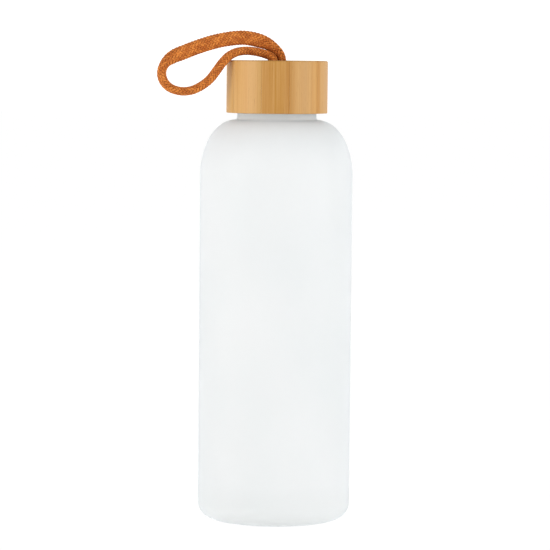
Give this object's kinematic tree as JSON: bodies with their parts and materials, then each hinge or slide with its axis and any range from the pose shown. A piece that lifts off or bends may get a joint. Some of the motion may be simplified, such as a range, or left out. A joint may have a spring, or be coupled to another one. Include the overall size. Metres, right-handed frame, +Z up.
{
  "type": "glass water bottle",
  "caption": "Cylindrical frosted glass water bottle with a rounded shoulder, a screw-on bamboo lid and a flat braided carry loop through the lid.",
  "frame": {"origin": "centre of the ring that the bottle stands on", "axes": "+Z up along the bottle's axis, towards the lid; the carry loop lies over the lid's rim towards -X; the front, as pictured, faces -Y"},
  "size_m": [0.0868, 0.0678, 0.2175],
  "materials": {
    "frosted_glass": "acid-frosted outside, matt and translucent",
    "silicone": "smooth, translucent white",
    "polypropylene": "moulded, satin",
    "bamboo": "turned and sanded, thin clear oil",
    "braided_cord": "braided cotton yarn, dyed orange-brown"
  },
  "bodies": {
    "bottle": {"glass_bottle": "frosted_glass"},
    "seal": {"seal_ring": "silicone"},
    "lid": {"cap_liner": "polypropylene", "bamboo_strip_1": "bamboo", "bamboo_strip_2": "bamboo", "bamboo_strip_3": "bamboo", "bamboo_strip_4": "bamboo", "bamboo_strip_5": "bamboo"},
    "cord_anchor": {"cord_knot": "braided_cord"},
    "cord": {"cord_loop": "braided_cord"}
  },
  "joints": [
    {"name": "lid_lift", "type": "slide", "parent": "bottle", "child": "seal", "axis": [0, 0, 1], "range_m": [0, 0.0127]},
    {"name": "lid_twist", "type": "hinge", "parent": "seal", "child": "lid", "pos_m": [0, 0, 0.1901], "axis": [0, 0, 1], "range_deg": [0, 1080]},
    {"name": "cord_swivel", "type": "hinge", "parent": "lid", "child": "cord_anchor", "pos_m": [0, 0, 0.2043], "axis": [0, 0, 1], "range_deg": [-180, 180]},
    {"name": "cord_raise", "type": "hinge", "parent": "cord_anchor", "child": "cord", "pos_m": [0, 0, 0.2043], "axis": [-0.3584, 0.9336, 0], "range_deg": [0, 90], "deforming": ["cord_loop"]}
  ],
  "couplings": [
    {"joint": "lid_lift", "follows": "lid_twist", "m_per_rad": 0.00067375}
  ]
}
